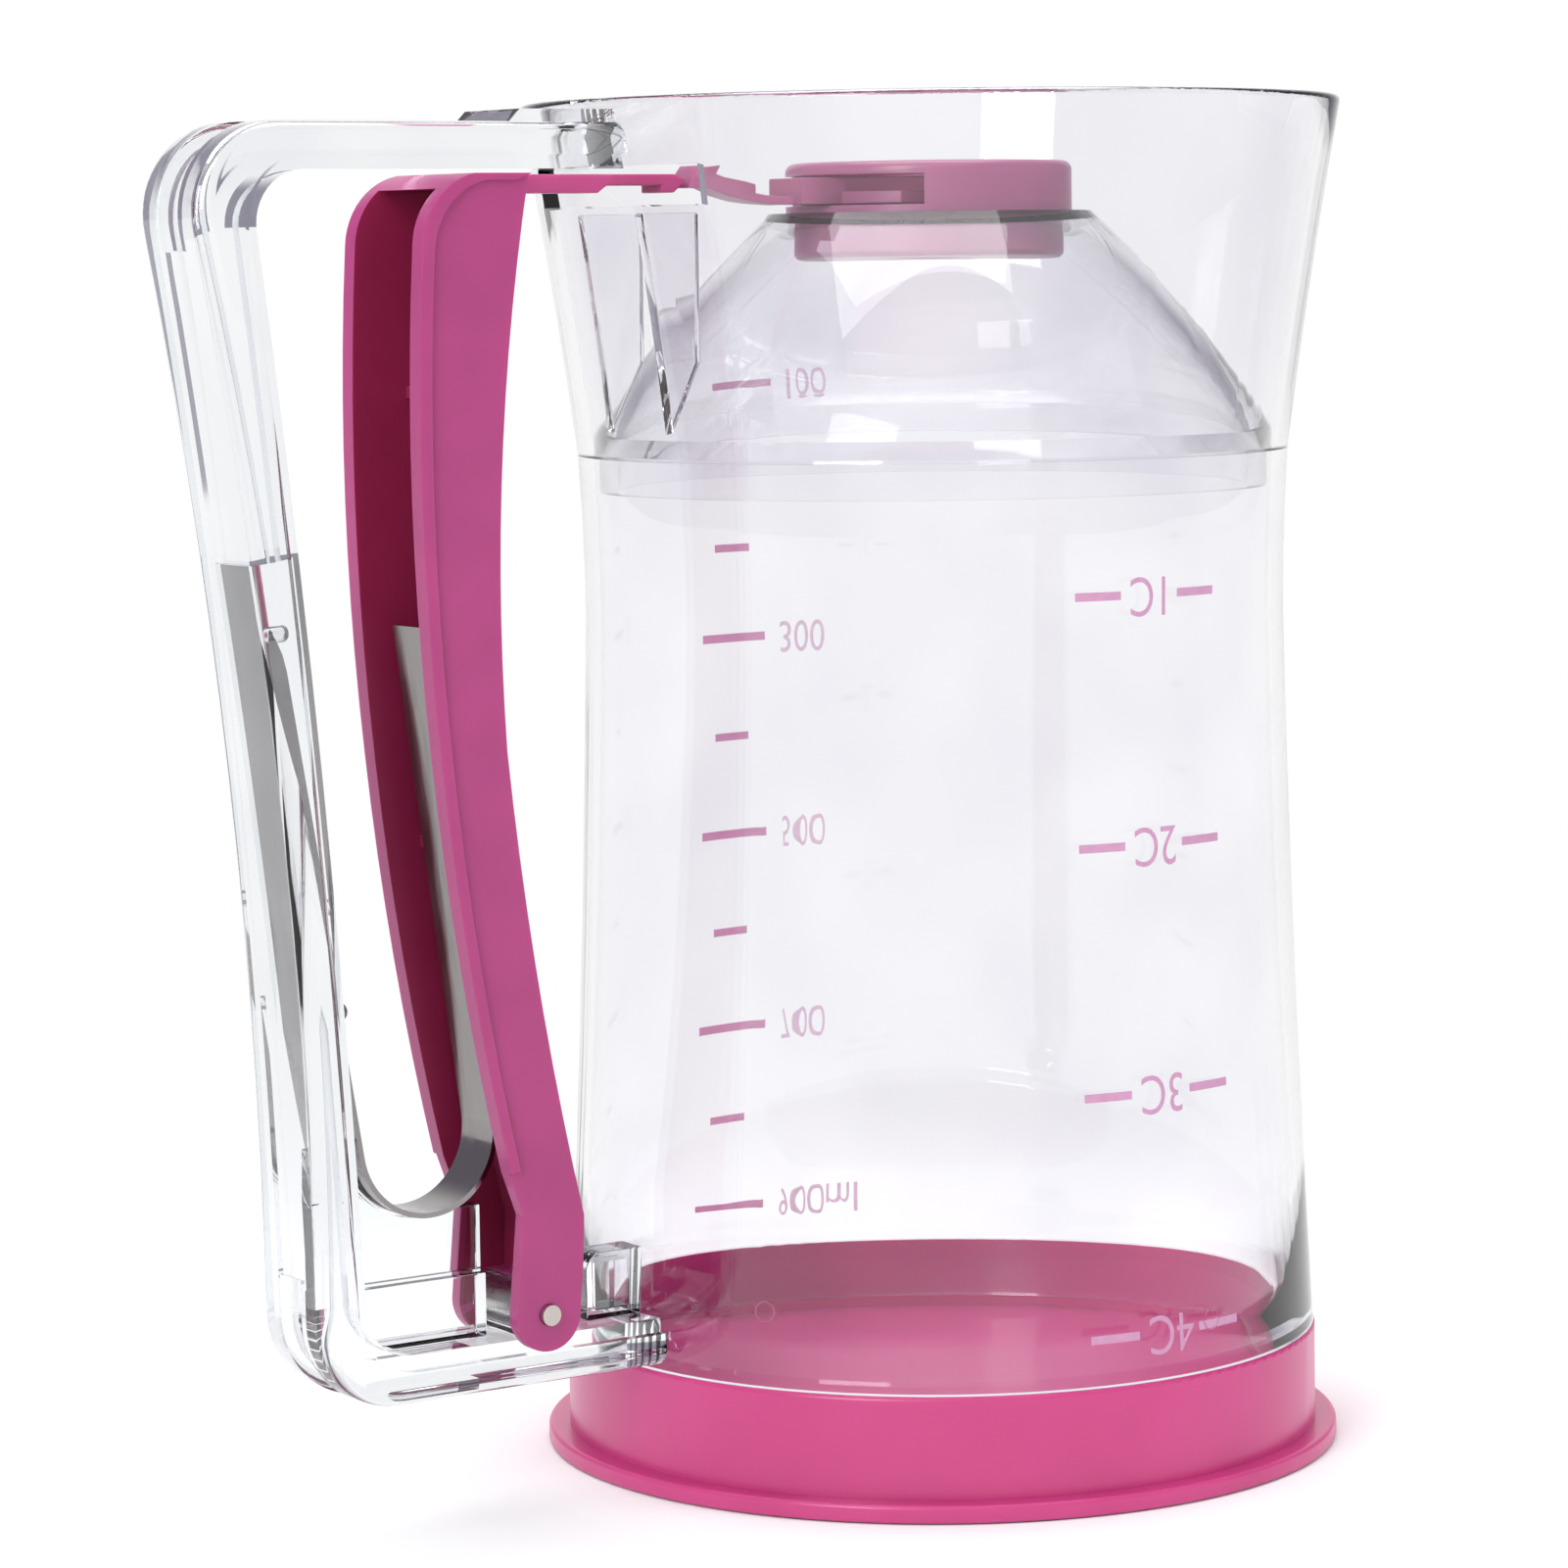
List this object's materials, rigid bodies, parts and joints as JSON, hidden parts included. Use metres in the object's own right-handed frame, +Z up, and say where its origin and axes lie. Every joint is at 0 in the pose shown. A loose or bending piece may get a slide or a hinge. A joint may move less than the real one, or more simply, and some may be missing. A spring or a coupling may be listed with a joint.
{
  "type": "batter dispenser",
  "caption": "Clear plastic batter dispenser standing on its push-on lid, with a squeeze trigger in the handle that slides an outlet gate under a funnel.",
  "frame": {"origin": "on the container's axis, at the flat underside of the lid it stands on", "axes": "+Z up along the container, -X towards the handle, Y along the trigger's pivot pin"},
  "size_m": [0.1765, 0.1142, 0.1886],
  "materials": {
    "clear_plastic": "clear polished plastic",
    "lid_plastic": "magenta moulded plastic",
    "trigger_plastic": "magenta moulded plastic",
    "spring_steel": "stainless strip",
    "steel_pin": "stainless pin",
    "seal_rubber": "translucent silicone"
  },
  "bodies": {
    "container": {"container_shell": "clear_plastic", "stand_skirt": "clear_plastic", "funnel_dome": "clear_plastic", "link_guide": "clear_plastic", "handle_frame": "clear_plastic", "handle_web": "clear_plastic", "pivot_boss": "clear_plastic", "stop_lug": "clear_plastic", "valve_cap": "lid_plastic", "valve_seat": "lid_plastic", "gasket": "seal_rubber", "pivot_pin": "steel_pin", "return_spring": "spring_steel"},
    "trigger": {"trigger_lever": "trigger_plastic"},
    "gate": {"gate_slide": "lid_plastic", "pull_link": "lid_plastic"},
    "lid": {"lid_cup": "lid_plastic"}
  },
  "joints": [
    {"name": "trigger_hinge", "type": "hinge", "parent": "container", "child": "trigger", "pos_m": [-0.0715, 0, 0.0272], "axis": [0, -1, 0], "range_deg": [0, 5], "stiffness_Nm_per_rad": 0.8, "springref_deg": -5.73, "deforming": ["return_spring"]},
    {"name": "gate_slide", "type": "slide", "parent": "container", "child": "gate", "axis": [-1, 0, 0], "range_m": [0, 0.0132]},
    {"name": "lid_pull", "type": "slide", "parent": "container", "child": "lid", "axis": [0, 0, -1], "range_m": [0, 0.04]}
  ],
  "couplings": [
    {"joint": "gate_slide", "follows": "trigger_hinge", "m_per_rad": 0.1501}
  ]
}
